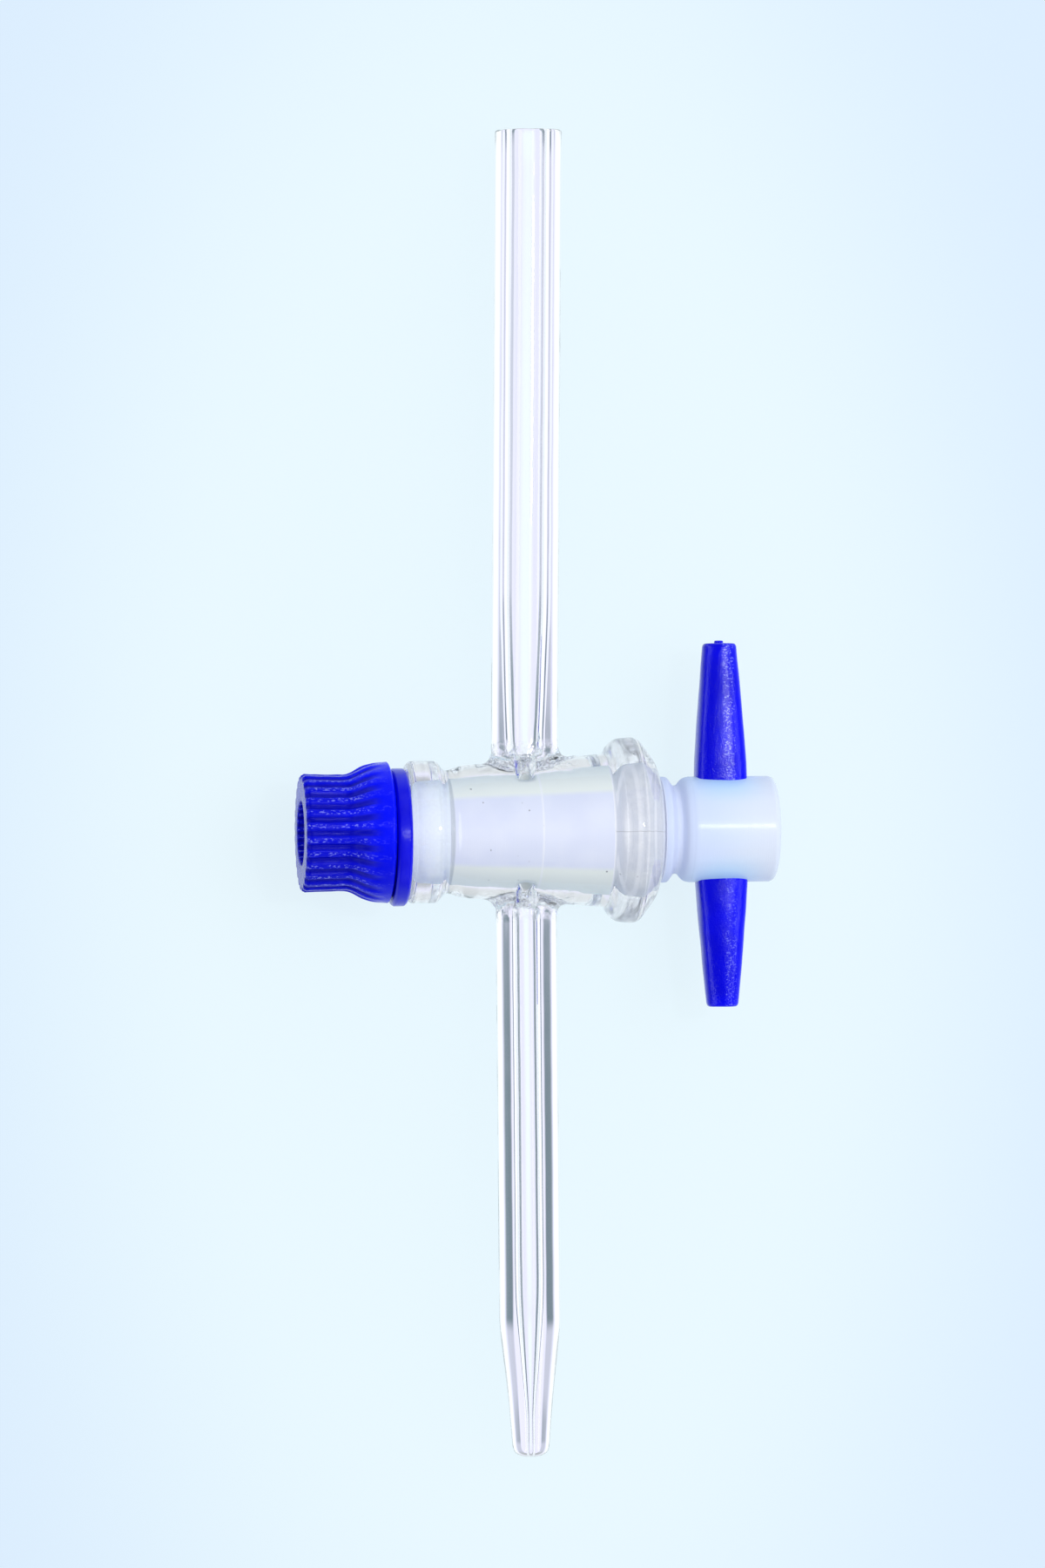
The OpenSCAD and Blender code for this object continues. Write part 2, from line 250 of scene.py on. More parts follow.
class Finish:
    """A material or world whose nodes are added one by one."""

    def __init__(self, owner):
        owner.use_nodes = True
        self.owner, self.tree = owner, owner.node_tree
        self.tree.nodes.clear()

    def node(self, kind, settings=None, out=0, **values):
        """Any node: its type, its settings, which are set first, and what its sockets take.

        A socket is given by its name with _ for a space, or by _ and its number where names repeat.
        """
        made = self.tree.nodes.new("ShaderNode" + kind)
        for key, value in (settings or {}).items():
            setattr(made, key, value)
        for key, value in values.items():
            numbered = key[1:].isdigit()
            socket = made.inputs[int(key[1:])] if numbered else made.inputs[key.replace("_", " ")]
            put(self.tree, socket, value)
        return Wire(self.tree, made.outputs[out])

    def position(self):
        """Object coordinates, in metres."""
        return self.node("TexCoord", out="Object")

    def place(self):
        """Object coordinates, and the same as three numbers in millimetres."""
        at = self.position()
        split = self.tree.nodes.new("ShaderNodeSeparateXYZ")
        put(self.tree, split.inputs[0], at)
        return at, [Wire(self.tree, s) * 1000.0 for s in split.outputs]

    def stretched(self, at, scale):
        """Coordinates scaled along each axis."""
        return self.node("Mapping", {"vector_type": "POINT"}, Vector=at, Scale=scale)

    def noise(self, at, scale, detail=2.0, roughness=0.5):
        return self.node("TexNoise", Vector=at, Scale=scale, Detail=detail, Roughness=roughness)

    def climb(self, v, low, high, to_low=0.0, to_high=1.0):
        """A smooth climb from to_low to to_high as v goes from low to high."""
        return self.node("MapRange", {"interpolation_type": "SMOOTHSTEP"}, Value=v,
                         From_Min=low, From_Max=high, To_Min=to_low, To_Max=to_high)

    def band(self, v, middle, outer, inner):
        """1 where v is within inner of the middle, falling smoothly to 0 at outer from it."""
        return self.climb(abs(v - middle), outer, inner)

    def blend(self, factor, a, b):
        """A colour between a and b. The Mix node's colours are its sockets 6 and 7."""
        return self.node("Mix", {"data_type": "RGBA"}, out=2, _0=factor, _6=a, _7=b)

    def layered(self, factor, a, b):
        """A shader between a and b."""
        return self.node("MixShader", _0=factor, _1=a, _2=b)

    def bump(self, height, distance, **normal):
        """A bumped normal, on top of another if one is given; distance is in metres."""
        return self.node("Bump", Distance=distance, Height=height, **normal)

    def dot(self, way, direction):
        """How far a way points in a direction."""
        return self.node("VectorMath", {"operation": "DOT_PRODUCT"}, out=1, _0=way, _1=direction)

    def ray(self, kind):
        """1 for light rays of this kind, and 0 for others."""
        return self.node("LightPath", out=f"Is {kind} Ray")

    def surface(self, shader):
        """Joins the shader to the output, and returns the material or world."""
        kind = "OutputWorld" if isinstance(self.owner, bpy.types.World) else "OutputMaterial"
        end = self.tree.nodes.new("ShaderNode" + kind)
        put(self.tree, end.inputs["Surface"], shader)
        return self.owner


def new_finish(name):
    return Finish(bpy.data.materials.new(name))


# ---------------------------------------------------------------- sizes, in millimetres

X, Y, Z = 0, 1, 2  # each axis's column in a row of coordinates


def span(node, axis):
    """Both ends of a CAD solid along an axis, to a hundredth of a millimetre."""
    low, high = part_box(node)
    return round(low[axis] / MM, 2), round(high[axis] / MM, 2)


BARREL_LEFT, BARREL_RIGHT = span("glass_body", X)
OUTLET_END, INLET_END = np.abs(span("glass_body", Y))  # how far each tube reaches from the crossing
SHANK_END_X, HEAD_END_X = span("key", X)
NUT_END_X, NUT_X = span("retaining_nut", X)
WASHER_LEFT, WASHER_RIGHT = span("washer", X)
HANDLE_X = round(sum(span("handle", X)) / 2, 2)
TUBE_R = {mount["name"]: mount["dims"].get("r_mm") for mount in frame["record"]["mounts"]}
INLET_R, OUTLET_R = TUBE_R["inlet_tube"], TUBE_R["outlet_tube"]

AROUND = 160  # columns round the barrel, the socket and the key
FAR_SIDE = AROUND // 2  # the column opposite the first, where the outlet is
HALF_WINDOW = 22  # columns each side of a tube's middle that its patch takes the place of
WINDOW_ROWS = 38  # rows that the patch takes the place of
PATCH_X, PORT_X = 6.4, 3.4  # half length of a window along X, in the barrel and round the ports

BARREL_R, BARREL_SLOPE = 8.48, 1 / 13.6
COLLAR_R, LIP_R = 8.51, 0.9
FILLET_R = 1.35
INLET_BORE_R, OUTLET_BORE_R, TIP_BORE_R = 2.1, 1.25, 0.35
PORT_R, KEY_BORE_R = 1.1, 1.0
INLET_LEAN, LEAN_FROM_Y = 0.0155, 12.0  # a hand-sealed tube stands a touch out of line
CHIP_DEPTH = 0.09
LUMP_DEPTH, FINE_LUMP_DEPTH = 0.07, 0.03
LUMP_Y, LUMP_REACH = 8.9, 1.5  # where the lumps of hot-worked glass are highest, and how far they go

KEY_R, KEY_SLOPE, KEY_GAP = 4.7, 0.05, 0.03
SEATING = 0.02  # how far the key's skin reaches into the socket's, where it wets the glass
TAPER_X, PLAIN_R = -13.7, 3.48  # small end of the taper, and the plain shank beside it
SHOULDER_X, GROOVE_R, HEAD_R, HEAD_EDGE = 16.1, 5.3, 6.35, 0.8

THREAD_PITCH, THREAD_CREST, THREAD_ROOT, THREAD_PLAY = 1.5, 3.5, 3.0, 0.08
SHANK_FADE_R, NUT_FADE_R = 3.1, 3.85  # the plain radius that each thread fades into at its ends

HANDLE_Y = 0.5
TIP_R = 0.6
RIBS = 26
GRIP_R, RIB_H, FLARE_X, SKIRT_X, SKIRT_R = 6.6, 0.35, -21.94, -16.79, 8.45
RECESS_R, RECESS_X = 5.48, -17.78
WASHER_HOLE_R, WASHER_R, WASHER_DROP = 4.2, 8.25, 0.6
RING_HALF_H, RING_HALF_W, RING_R, RING_PLAY = 0.7, 0.94, 4.51, 0.03


def barrel_radius(x):
    return BARREL_R + x * BARREL_SLOPE


def key_radius(x):
    return KEY_R + KEY_SLOPE * x


def socket_radius(x):
    return key_radius(x) + KEY_GAP


def skin_radius(x):
    return socket_radius(x) + SEATING


def thread(x, columns):
    """Right-hand screw thread: the radius is a flat-topped wave of the turn less the way along."""
    wave = np.sin(TURN * np.asarray(x)[:, None] / THREAD_PITCH - angles(columns))
    return THREAD_ROOT + (THREAD_CREST - THREAD_ROOT) * (0.5 + 0.5 * np.clip(1.6 * wave, -1, 1))


# ---------------------------------------------------------------- windows and the tubes that fill them


def window_loop(first, last, middle, mirrored=False):
    """Rows and columns round a window's edge, from the row of its lowest x to its highest and back."""
    side = np.linspace(first, last, WINDOW_ROWS + 1).round().astype(int)
    across = np.arange(-HALF_WINDOW, HALF_WINDOW + 1)
    rows = np.concatenate([np.full(across.size - 1, first), side[:-1],
                           np.full(across.size - 1, last), side[:0:-1]])
    columns = np.concatenate([across[:-1], np.full(side.size - 1, HALF_WINDOW),
                              across[:0:-1], np.full(side.size - 1, -HALF_WINDOW)])
    return rows, (middle + (-columns if mirrored else columns)) % AROUND


def cut_windows(keep, first):
    """Takes the cells inside the two windows, one for each tube, out of a grid."""
    for middle in (0, FAR_SIDE):
        columns = (middle + np.arange(-HALF_WINDOW, HALF_WINDOW)) % AROUND
        keep[first:first + WINDOW_ROWS, columns] = False


def lift(radius_at, plan, rise=0.0):
    """Points [x, z] lifted along Y on to a surface turned about X, and by rise above it.

    The height is the root of the surface's radius squared less z squared.
    """
    x, z = plan[..., 0], plan[..., 1]
    return np.stack([x, np.sqrt(radius_at(x) ** 2 - z**2) + rise, z], -1)


def upright_rows(plan, heights):
    """Rows that stand over one outline of [x, z] points, at the given heights."""
    x, z = np.broadcast_to(plan[:, 0], heights.shape), np.broadcast_to(plan[:, 1], heights.shape)
    return np.stack([x, heights, z], 2)


def patch(edge, hole_r, radius_at, rows):
    """Rows from a window's edge to a round hole: straight lines in plan, lifted on to the surface."""
    flat = edge[:, [X, Z]]
    away = flat / np.linalg.norm(flat, axis=1, keepdims=True)
    hole = hole_r * away
    shares = np.linspace(1, 0, rows + 1)[1:, None, None]
    return lift(radius_at, hole + shares * (flat - hole)), away


def fillet_rows(away, r, radius_at):
    """A round fillet from a turned surface up to a tube's wall.

    The quarter circle's run is measured out from the wall, and its rise up from the surface below.
    """
    a = np.radians(np.linspace(0, 90, 9))[1:]
    plan = (r + FILLET_R * (1 - np.sin(a)))[:, None, None] * away
    return lift(radius_at, plan, FILLET_R * (1 - np.cos(a))[:, None])


def half_turn(p):
    """The same points turned half round about X."""
    return p * np.array([1.0, -1.0, -1.0])


def tube(outer_edge, inner_edge, r, outside, bore, seed):
    """One fused tube, from its patch on the barrel to the port in the socket, as one grid.

    Rows run over the patch, up the fillet and the wall, over the end, down the bore and out of the
    port. The lumps of hot-worked glass are fainter in the bore and fade out away from the joint, as a
    bell curve of the height, and towards the edge of the patch.
    """
    land, away = patch(outer_edge, r + FILLET_R, barrel_radius, 7)
    foot = fillet_rows(away, r, barrel_radius)
    top = foot[-1, :, Y]
    level = top.max() + 0.3
    wall = upright_rows(foot[-1][:, [X, Z]], top + np.linspace(0, 1, 4)[1:, None] * (level - top))
    outline = spaced(np.vstack([[[r, level + 0.3]], [[r, level + 3]], outside]), 4)
    path = np.vstack([outline, spaced(bore, 4)])
    upright = ring_rows(path[:, 0], path[:, 1], away)
    brim = PORT_R * away
    port_floor, port_top = lift(socket_radius, brim)[:, Y], bore[-1][1]
    port = upright_rows(brim, port_top + np.linspace(0, 1, 5)[1:, None] * (port_floor - port_top))
    shares = between(0, 1, 4)[:, None, None]
    seat = lift(socket_radius, brim + shares * (inner_edge[:, [X, Z]] - brim))
    grid = np.concatenate([outer_edge[None], land, foot, wall, upright, port, seat, inner_edge[None]])
    row = np.arange(len(grid))[:, None]
    outer_rows = 1 + len(land) + len(foot) + len(wall) + len(outline)
    port_rows = len(port) + len(seat) + 1
    hot = np.exp(-(((grid[..., Y] - LUMP_Y) / LUMP_REACH) ** 2))
    fade = np.where(row < outer_rows, 1.0, 0.4) * step(0, 5, row) * (row < len(grid) - port_rows)
    shift = LUMP_DEPTH * lumps(grid, 1.9, seed) + FINE_LUMP_DEPTH * lumps(grid, 0.8, seed + 1)
    return grid + normals(grid) * (hot * fade * shift)[..., None]


# ---------------------------------------------------------------- glass

# x, y and z of each air seed's middle, its radius, and its half length along Y
AIR_SEEDS = (
    (11.0, 8.6, 1.5, 0.14, 0.11), (11.5, 10.2, 1.6, 0.07, 0.06), (12.6, 7.9, 3.4, 0.08, 0.06),
    (-2.6, 9.1, 1.7, 0.12, 0.3), (2.4, 8.9, 1.2, 0.1, 0.22), (1.9, 8.3, 3.0, 0.1, 0.08),
    (-2.2, -8.9, 1.9, 0.11, 0.2), (2.6, -8.6, 0.9, 0.14, 0.24), (-3.3, 7.6, 2.9, 0.13, 0.1),
)


def air_seeds():
    """Air seeds in the glass: small balls, a little drawn out, whose faces look inwards."""
    around = angles(12)
    up = np.linspace(0, math.pi, 9)
    ball = np.stack([np.sin(up)[:, None] * np.cos(around), np.sin(up)[:, None] * np.sin(around),
                     np.broadcast_to(np.cos(up)[:, None], (9, 12))], 2)
    return [(np.array([x, y, z]) + ball * np.array([r, length, r]), None, False)
            for x, y, z, r, length in AIR_SEEDS]


def barrel_path():
    """Closed profile of the barrel: the small end, the outside from collar to rim, and the socket back.

    The outside and the socket each have straight rows for a window. Also gives where those start.
    """
    small_end = np.vstack([profile(socket_radius, BARREL_LEFT + 0.25),
                           profile(socket_radius, BARREL_LEFT + 0.08) + [0, 0.03],
                           [[BARREL_LEFT, 4.25], [BARREL_LEFT, 5.5]]])
    lip = bend(BARREL_LEFT + LIP_R, COLLAR_R - LIP_R, LIP_R, 180, 90, 8)
    collar = smooth(np.vstack([
        [[BARREL_LEFT + 1.0, COLLAR_R], [-11.4, COLLAR_R], [-10.85, 8.46], [-10.55, 8.1], [-10.15, 7.6],
         [-9.75, 7.33], [-9.3, 7.38], [-8.4, 7.72], [-7.4, 7.92]],
        profile(barrel_radius, -PATCH_X - 0.2)]), 2)
    rim = smooth(np.vstack([
        profile(barrel_radius, [PATCH_X + 0.2, 9.0]),
        [[9.45, 9.2], [9.62, 9.35], [9.75, 9.75], [10.0, 10.25], [10.5, 10.75], [11.2, 11.02],
         [12.2, 11.1], [13.1, 11.09], [13.55, 10.82], [14.1, 10.15], [14.7, 9.3], [15.2, 8.65],
         [15.55, 7.95], [15.8, 7.2], [15.95, 6.6], [BARREL_RIGHT, 6.2], [BARREL_RIGHT, 5.8]]]), 2)
    mouth = np.vstack([profile(socket_radius, BARREL_RIGHT - 0.05) + [0, 0.06],
                       profile(socket_radius, BARREL_RIGHT - 0.2)])
    outside = profile(barrel_radius, np.linspace(-PATCH_X, PATCH_X, WINDOW_ROWS + 1))
    socket = profile(socket_radius, np.linspace(PORT_X, -PORT_X, WINDOW_ROWS + 1))
    before = np.vstack([spaced(small_end, 0.4), lip, spaced(collar, 0.3)])
    after = np.vstack([outside, spaced(rim, 0.3), mouth, between(mouth[-1], socket[0], 20)])
    path = np.vstack([before, after, socket, between(socket[-1], small_end[0], 16)])
    return path, len(before), len(before) + len(after)


def inlet_profiles():
    """Outside of the inlet's open end, and its bore from there down to the port, as [r, y]."""
    rim, mouth = np.array([INLET_R, INLET_END]), np.array([INLET_BORE_R, INLET_END])
    outside = rim + [[0, -0.25], [-0.03, -0.1], [-0.12, -0.02], [-0.3, 0]]
    bore = smooth([[INLET_BORE_R, INLET_END - 0.4], [INLET_BORE_R, 30], [2.08, 26.5], [1.85, 18],
                   [1.6, 11], [1.55, 9.4]], 3)
    return outside, np.vstack([mouth + [[0.25, 0], [0.08, -0.03], [0, -0.15]], bore,
                               bend(PORT_R, 9.25, 0.45, 0, -80, 6)])


def outlet_profiles():
    """Outside of the outlet's drawn tip, and its bore from there down to the port, as [r, y]."""
    tip = np.array([TIP_BORE_R, OUTLET_END])
    outside = smooth([[OUTLET_R, 57], [OUTLET_R, 58.6], [3.5, 60.4], [2.7, 67.3], [2.3, 72.4],
                      [2.22, 73.5], [2.05, 74.25], [1.5, 74.68], [0.8, OUTLET_END]], 2)
    bore = smooth([[TIP_BORE_R, 74.3], [0.34, 71], [0.36, 69.2], [0.7, 64.5], [1.15, 57.5],
                   [1.24, 54.5], [OUTLET_BORE_R, 50], [1.22, 30], [OUTLET_BORE_R, 12],
                   [OUTLET_BORE_R, 9.3]], 3)
    return outside, np.vstack([tip + [[0.15, -0.01], [0.03, -0.08], [0, -0.25]], bore,
                               bend(PORT_R, 9.2, 0.15, 0, -80, 4)])


def make_glass(material):
    """Barrel turned from one closed profile, with a window for each tube in its outside and its socket.

    The inlet leans: its x grows in proportion to its height above a point near the barrel. Its end is
    chipped where a slow pattern of lumps is positive.
    """
    path, outer_first, inner_first = barrel_path()
    outer_last, inner_last = outer_first + WINDOW_ROWS, inner_first + WINDOW_ROWS
    barrel = turned(path[:, 0], path[:, 1], AROUND)
    keep = np.ones(barrel.shape[:2], bool)
    cut_windows(keep, outer_first)
    cut_windows(keep, inner_first)
    inlet = tube(barrel[window_loop(outer_first, outer_last, 0)],
                 barrel[window_loop(inner_last, inner_first, 0)], INLET_R, *inlet_profiles(), seed=7)
    outlet = half_turn(tube(half_turn(barrel[window_loop(outer_first, outer_last, FAR_SIDE)]),
                            half_turn(barrel[window_loop(inner_last, inner_first, FAR_SIDE)]),
                            OUTLET_R, *outlet_profiles(), seed=19))
    inlet[..., X] += INLET_LEAN * np.clip(inlet[..., Y] - LEAN_FROM_Y, 0, None)
    chips = CHIP_DEPTH * np.clip(lumps(inlet * np.array([1.0, 0.2, 1.0]), 2.2, 5), 0, 1)
    inlet[..., Y] -= np.where(inlet[..., Y] > INLET_END - 0.2, chips, 0)
    grids = [(barrel, keep, True), (inlet, None, False), (outlet, None, False), *air_seeds()]
    piece("blown_glass", grids, material, "glass", ("glass_body",))


# ---------------------------------------------------------------- key


def make_key(material):
    """Key turned from one bar: threaded shank, taper with the cross bore, shoulder, groove and head."""
    shank = np.array([[SHANK_END_X + 0.1, 0.0], [SHANK_END_X + 0.1, 0.5], [SHANK_END_X, 0.7],
                      [SHANK_END_X, 2.6]])
    screw_x = np.arange(SHANK_END_X + 0.3, -18.0, 0.075)
    taper_r = skin_radius(TAPER_X)
    plain = np.array([[-17.9, 3.3], [-17.7, PLAIN_R - 0.02], [-17.5, PLAIN_R], [-14.1, PLAIN_R],
                      [TAPER_X - 0.06, 3.5], [TAPER_X, 3.6], [TAPER_X, taper_r - 0.14],
                      [TAPER_X + 0.08, taper_r - 0.02], [TAPER_X + 0.2, skin_radius(TAPER_X + 0.2)]])
    small = profile(skin_radius, np.linspace(TAPER_X + 0.5, -PORT_X - 0.3, 20))
    window = profile(skin_radius, np.linspace(-PORT_X, PORT_X, WINDOW_ROWS + 1))
    big = profile(skin_radius, np.linspace(PORT_X + 0.3, SHOULDER_X - 0.2, 24))
    groove = smooth([[SHOULDER_X - 0.04, 5.54], [SHOULDER_X, 5.7], [SHOULDER_X, HEAD_R - 0.1],
                     [SHOULDER_X + 0.1, HEAD_R], [16.85, HEAD_R], [17.1, 6.2], [17.6, 5.45],
                     [17.8, GROOVE_R], [18.2, GROOVE_R], [18.4, 5.42], [18.85, 6.0], [19.2, 6.22],
                     [19.8, HEAD_R]], 2)
    head = np.vstack([[[20.3, HEAD_R], [HEAD_END_X - 0.9, HEAD_R]],
                      bend(HEAD_END_X - HEAD_EDGE, HEAD_R - HEAD_EDGE, HEAD_EDGE, 90, 0, 8),
                      [[HEAD_END_X, 4.6], [HEAD_END_X, 0.9], [HEAD_END_X - 0.1, 0.6],
                       [HEAD_END_X - 0.2, 0.0]]])
    screw = np.stack([screw_x, np.zeros(screw_x.size)], 1)
    path = np.vstack([shank, screw, plain, small, window, big, spaced(groove, 0.12), spaced(head, 0.5)])
    radius = np.repeat(path[:, 1:], AROUND, 1)
    ends = np.minimum(step(SHANK_END_X, SHANK_END_X + 1.0, screw_x), 1 - step(-19.2, -18.1, screw_x))
    rows = slice(len(shank), len(shank) + screw_x.size)
    radius[rows] = SHANK_FADE_R + (thread(screw_x, AROUND) - SHANK_FADE_R) * ends[:, None]
    body = turned(path[:, 0], radius, AROUND)
    first = len(shank) + screw_x.size + len(plain) + len(small)
    last = first + WINDOW_ROWS
    keep = np.ones((len(body) - 1, AROUND), bool)
    cut_windows(keep, first)
    top = body[window_loop(first, last, 0)]
    bottom = body[window_loop(first, last, FAR_SIDE, mirrored=True)]
    land, _ = patch(top, KEY_BORE_R, skin_radius, 5)
    under = land[::-1] * np.array([1.0, -1.0, 1.0])
    passage = land[-1] + between(0, 1, 10)[:, None, None] * (under[0] - land[-1])
    bore = np.concatenate([top[None], land, passage, under, bottom[None]])
    grids = [(body, keep, False), (bore, None, False)]
    piece("turned_key", grids, material, "key", ("key",))


# ---------------------------------------------------------------- handle, nut, washer and O-ring

# distance from the handle's middle, width and thickness along each arm
LONG_ARM = ((0, 6.3, 5.0), (6.0, 6.28, 5.0), (9.5, 5.94, 4.8), (12.5, 5.5, 4.45), (15.5, 5.06, 4.1),
            (18.5, 4.6, 3.75), (21.2, 4.16, 3.44))
SLIM_ARM = ((0, 6.3, 5.0), (6.0, 6.3, 5.0), (9.5, 5.86, 4.8), (13.7, 5.22, 4.3), (18.2, 4.44, 3.8),
            (21.2, 3.86, 3.44))


def arm_rows(stations):
    """Half of the cross bar: distance from its middle, width and thickness, ending in a rounded tip."""
    arm = spaced(smooth(stations, 2), 0.3)
    turn = np.radians(np.linspace(0, 90, 8))[1:, None]
    reach, width, thick = arm[-1]
    out = np.hstack([reach + TIP_R * np.sin(turn), arm[-1, 1:] - TIP_R * (1 - np.cos(turn)) * 1.3])
    centre = np.array([[reach + TIP_R, 0.3 * width, 0.3 * thick], [reach + TIP_R, 0.0, 0.0]])
    return np.vstack([arm, out, centre])


def make_handle(material):
    """Cross bar: a rounded oblong, whose width and thickness shrink towards both tips, carried along Y."""
    slim = arm_rows(SLIM_ARM)[::-1] * np.array([-1.0, 1.0, 1.0])
    rows = np.vstack([slim, arm_rows(LONG_ARM)[1:]])
    reach, half_w, half_t = rows[:, :1], rows[:, 1] / 2, rows[:, 2] / 2
    bevel_w, bevel_t = np.minimum(0.78, half_w * 0.4), np.minimum(0.85, half_t * 0.5)
    near, far = half_t - np.minimum(0.2, half_t * 0.12), half_t - np.minimum(0.34, half_t * 0.2)
    upper = np.stack([half_w, half_t - bevel_t, half_w - bevel_w, near, half_w * 0.2, half_t,
                      bevel_w - half_w, far, -half_w, half_t - bevel_t], 1).reshape(len(rows), 5, 2)
    lower = upper[:, ::-1] * np.array([1.0, -1.0])
    section = round_corners(np.concatenate([upper, lower], 1), 3)[:, ::-1]
    along = np.broadcast_to(HANDLE_Y + reach, section.shape[:2])
    bar = np.stack([HANDLE_X + section[..., 0], along, section[..., 1]], 2)
    bar = bar + normals(bar) * (0.02 * lumps(bar, 5.0, 31) * step(0.5, 2, rows[:, 1:2]))[..., None]
    facing = np.stack([np.cos(angles(24)), -np.sin(angles(24))], 1)
    stub = smooth([[0.55, 22.1], [0.55, 22.5], [0.5, 22.62], [0.3, 22.64], [0.0, 22.6]], 2)
    gate = ring_rows(stub[:, 0], stub[:, 1], facing, centre=(HANDLE_X - 0.1, 0.2))
    grids = [(bar, None, False), (gate, None, False)]
    piece("cross_bar", grids, material, "key", ("handle",))


def make_nut(material):
    """Nut turned from one closed profile, with ribs on the grip and a thread inside.

    A point of the profile is its x, its radius and the share of a rib's height that stands on it. The
    flare is a straight slope plus a curve that starts level, steepens, and levels out at the skirt. The
    ribs wander a little, and fade up the flare.
    """
    columns = 12 * RIBS
    slope = 0.1 * (SKIRT_X - FLARE_X)
    t = np.linspace(0, 1, 26)[1:]
    rise = 1 - (1 - t) ** 3 * (1 + 3 * t)
    end = np.array([NUT_END_X, 0, 0])
    face = end + [[0.25, 3.85, 0], [0.1, 3.87, 0], [0.03, 3.92, 0], [0, 4.02, 0], [0, 5.0, 0],
                  [0, 6.2, 0.4], [0.01, 6.38, 1], [0.05, 6.5, 1], [0.14, 6.58, 1], [0.24, GRIP_R, 1]]
    grip = np.stack([np.linspace(NUT_END_X + 0.4, FLARE_X, 14), np.full(14, GRIP_R), np.ones(14)], 1)
    grip[:, 1] += 0.12 * np.linspace(1, 0, 14) ** 2
    flare = np.stack([FLARE_X + (SKIRT_X - FLARE_X) * t,
                      GRIP_R + slope * t + (SKIRT_R - slope - GRIP_R) * rise, 1 - step(0.3, 0.95, t)], 1)
    skirt = np.array([[-16.72, 8.43, 0], [-16.64, 8.33, 0], [-16.40, 7.78, 0], [NUT_X, 7.6, 0],
                      [NUT_X, RECESS_R + 0.14, 0], [NUT_X - 0.1, RECESS_R + 0.02, 0],
                      [-16.7, RECESS_R, 0], [-17.6, RECESS_R, 0], [RECESS_X + 0.06, 5.44, 0],
                      [RECESS_X, 5.3, 0], [RECESS_X, 3.95, 0], [RECESS_X - 0.05, 3.86, 0]])
    path = np.vstack([face, grip, flare, skirt])
    plain_form = turned(path[:, 0], path[:, 1], columns)
    wander = 0.008 * lumps(plain_form, 3.0, 23)
    rib = RIB_H * step(-0.9, 0.5, np.cos(RIBS * (angles(columns) + wander)))
    uneven = 0.025 * lumps(plain_form, 1.7, 11) * step(0, 3, np.arange(len(path)))[:, None]
    outside = path[:, 1:2] + path[:, 2:3] * (rib + uneven)
    hole_x = np.arange(-17.95, NUT_END_X + 0.3, -0.09)
    ends = np.minimum(step(NUT_END_X + 0.7, NUT_END_X + 1.2, hole_x), 1 - step(-18.3, -18.0, hole_x))
    hole = NUT_FADE_R + (thread(hole_x, columns) + THREAD_PLAY - NUT_FADE_R) * ends[:, None]
    body = turned(np.r_[path[:, 0], hole_x], np.vstack([outside, hole]), columns)
    piece("ribbed_nut", [(body, None, True)], material, "nut", ("retaining_nut",))


def make_washer(material):
    """Washer: a bevelled oblong turned about X, a little off the key's axis towards the outlet."""
    half = [[0, WASHER_HOLE_R + 0.12], [0, 6.0], [0, WASHER_R - 0.34], [0.04, WASHER_R - 0.24],
            [0.26, WASHER_R - 0.03], [0.36, WASHER_R]]
    left = np.array([WASHER_LEFT, 0]) + half
    right = np.array([WASHER_RIGHT, 0]) + np.array(half)[::-1] * [-1, 1]
    hole = [[WASHER_RIGHT - 0.1, WASHER_HOLE_R], [WASHER_LEFT + 0.1, WASHER_HOLE_R]]
    path = smooth(np.vstack([left, right, hole]), 2)
    ring = turned(path[:, 0], path[:, 1], 144) - np.array([0.0, WASHER_DROP, 0.0])
    piece("flat_washer", [(ring, None, True)], material, "key", ("washer",))


def squared(v):
    """A sine or cosine pushed outwards, so that a round becomes a little flatter."""
    return np.sign(v) * np.abs(v) ** 0.85


def make_o_ring(material):
    """O-ring: a flattened round turned about X, with the fine line of its mould round the outside."""
    a = angles(40)
    mould_line = 0.02 * (np.abs(a - math.pi / 2) < 0.1)
    x = NUT_X - RING_PLAY - RING_HALF_H - RING_HALF_H * squared(np.cos(a))
    r = RING_R + RING_HALF_W * squared(np.sin(a)) + mould_line
    ring = turned(x, r, 120)
    piece("seal_ring", [(ring, None, True)], material, "seal", ("o_ring",))


# ---------------------------------------------------------------- finishes

GLASS_IOR, FLUOROPOLYMER_IOR, MOULDING_IOR = 1.473, 1.36, 1.5
PALE = (0.855, 0.938, 1.0)  # the backdrop's colour, and what shows level through the glass


